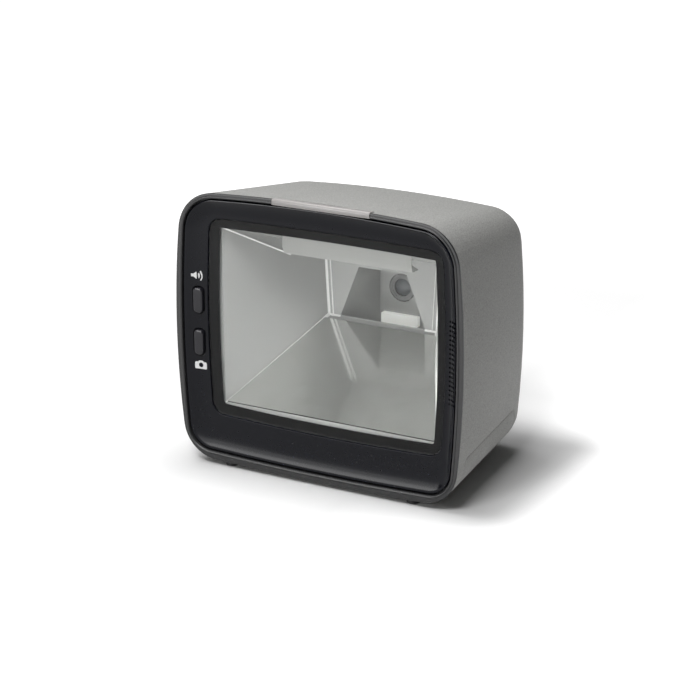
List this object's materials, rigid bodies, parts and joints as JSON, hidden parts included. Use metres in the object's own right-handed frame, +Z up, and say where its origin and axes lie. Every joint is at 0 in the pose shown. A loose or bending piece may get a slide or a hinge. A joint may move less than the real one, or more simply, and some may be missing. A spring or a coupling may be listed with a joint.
{
  "type": "presentation barcode scanner",
  "caption": "Upright on-counter barcode scanner with a large front window, imager inside, side buttons, speaker grille and a status light bar.",
  "frame": {"origin": "on the counter, under the middle of the overall box", "axes": "+X to the scanner's left-to-right width as seen from its front, +Y toward its back (the window faces -Y), +Z up"},
  "size_m": [0.1518, 0.0954, 0.1358],
  "materials": {
    "housing_grey": "finely textured moulded plastic",
    "foot_rubber": "matt rubber",
    "insert_brass": "machined",
    "screw_steel": "zinc plated",
    "frame_black": "satin gloss moulded plastic",
    "bezel_black": "high gloss moulded plastic",
    "window_clear": "polished, coated",
    "lens_glass": "coated",
    "mask_black": "printed border",
    "light_milk": "milky translucent",
    "board_green": "solder mask",
    "led_cream": "phosphor",
    "button_grey": "satin",
    "switch_black": "moulded",
    "lead_red": "insulated leads",
    "lead_dark": "insulated leads",
    "flex_amber": "flat cable",
    "tub_grey": "semi-gloss moulded plastic",
    "mirror_silver": "coated",
    "chip_black": "moulded package",
    "sensor_glass": "die under a cover",
    "plated_steel": "tin plated",
    "cap_blue": "sleeve",
    "connector_white": "moulded"
  },
  "bodies": {
    "scanner": {"rear_housing": "housing_grey", "base_cover": "housing_grey", "front_feet": "foot_rubber", "rear_feet": "foot_rubber", "mount_inserts": "insert_brass", "base_screws": "screw_steel", "front_frame": "frame_black", "frame_screws": "screw_steel", "bezel": "bezel_black", "window_glass": "window_clear", "window_mask": "mask_black", "light_bar": "light_milk", "light_bar_board": "board_green", "light_bar_leds": "led_cream", "button_switches": "switch_black", "button_board": "board_green", "button_screws": "screw_steel", "button_leads": "lead_dark", "speaker_gasket": "foot_rubber", "speaker_basket": "switch_black", "speaker_cone": "switch_black", "speaker_magnet": "plated_steel", "speaker_screws": "screw_steel", "speaker_leads": "lead_red", "optics_tub": "tub_grey", "tub_screws": "screw_steel", "tub_hood": "tub_grey", "floor_mirror": "mirror_silver", "lens_holder": "switch_black", "lens_barrel": "switch_black", "front_lens": "lens_glass", "image_sensor": "sensor_glass", "camera_board": "board_green", "camera_screws": "screw_steel", "illum_lens": "light_milk", "illum_leds": "led_cream", "illum_board": "board_green", "illum_connector": "connector_white", "main_board": "board_green", "board_screws": "screw_steel", "main_processor": "chip_black", "memory_chips": "chip_black", "shield_can": "plated_steel", "capacitors": "cap_blue", "lead_connectors": "connector_white", "flex_connectors": "connector_white", "camera_flex": "flex_amber", "host_socket": "switch_black", "host_contacts": "insert_brass", "aux_socket": "plated_steel", "aux_tongue": "connector_white", "power_jack": "switch_black"},
    "volume_button": {"volume_button": "button_grey", "volume_plunger": "switch_black"},
    "capture_button": {"capture_button": "button_grey", "capture_plunger": "switch_black"}
  },
  "joints": [
    {"name": "volume_press", "type": "slide", "parent": "scanner", "child": "volume_button", "axis": [0, 1, 0], "range_m": [0, 0.0006], "stiffness_N_per_m": 2500},
    {"name": "capture_press", "type": "slide", "parent": "scanner", "child": "capture_button", "axis": [0, 1, 0], "range_m": [0, 0.0006], "stiffness_N_per_m": 2500}
  ]
}
